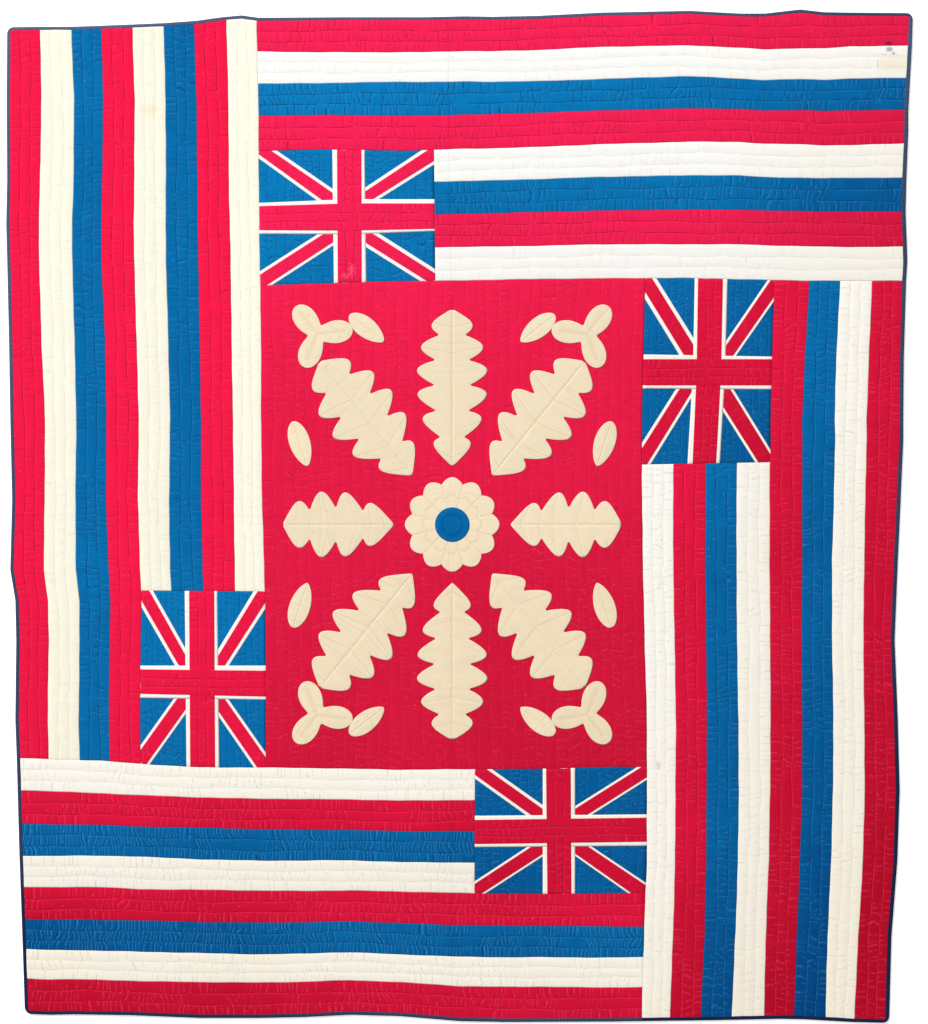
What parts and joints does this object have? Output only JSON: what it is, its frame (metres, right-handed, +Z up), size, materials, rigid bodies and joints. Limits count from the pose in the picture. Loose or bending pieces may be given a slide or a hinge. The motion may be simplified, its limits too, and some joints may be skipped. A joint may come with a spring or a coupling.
{
  "type": "quilt",
  "caption": "Flat pieced bed quilt with striped flags set pinwheel fashion round a plain centre panel, an appliqued leaf medallion and a bound edge.",
  "frame": {"origin": "on the surface the quilt lies on, under the middle of its bounding box", "axes": "+Z up out of the quilt's face, +Y along its length to the top edge, +X across it to the viewer's right"},
  "size_m": [1.9919, 2.2199, 0.0084],
  "materials": {
    "quilt_top": "matt cotton",
    "binding": "matt cotton",
    "cream": "matt cotton",
    "blue": "matt cotton"
  },
  "bodies": {
    "root": {"quilt": "quilt_top", "binding_top": "binding", "binding_right": "binding", "binding_bottom": "binding", "binding_left": "binding", "rosette": "cream", "rosette_disc": "blue", "leaf_side_1": "cream", "leaf_side_2": "cream", "leaf_corner_1": "cream", "leaf_corner_2": "cream", "leaf_corner_3": "cream", "leaf_corner_4": "cream", "leaf_long_1": "cream", "leaf_long_2": "cream", "bud_side_1": "cream", "bud_side_2": "cream", "bud_side_3": "cream", "bud_side_4": "cream", "bud_end_1": "cream", "bud_end_2": "cream", "bud_end_3": "cream", "bud_end_4": "cream", "trefoil_1": "cream", "trefoil_2": "cream", "trefoil_3": "cream", "trefoil_4": "cream"}
  },
  "joints": []
}
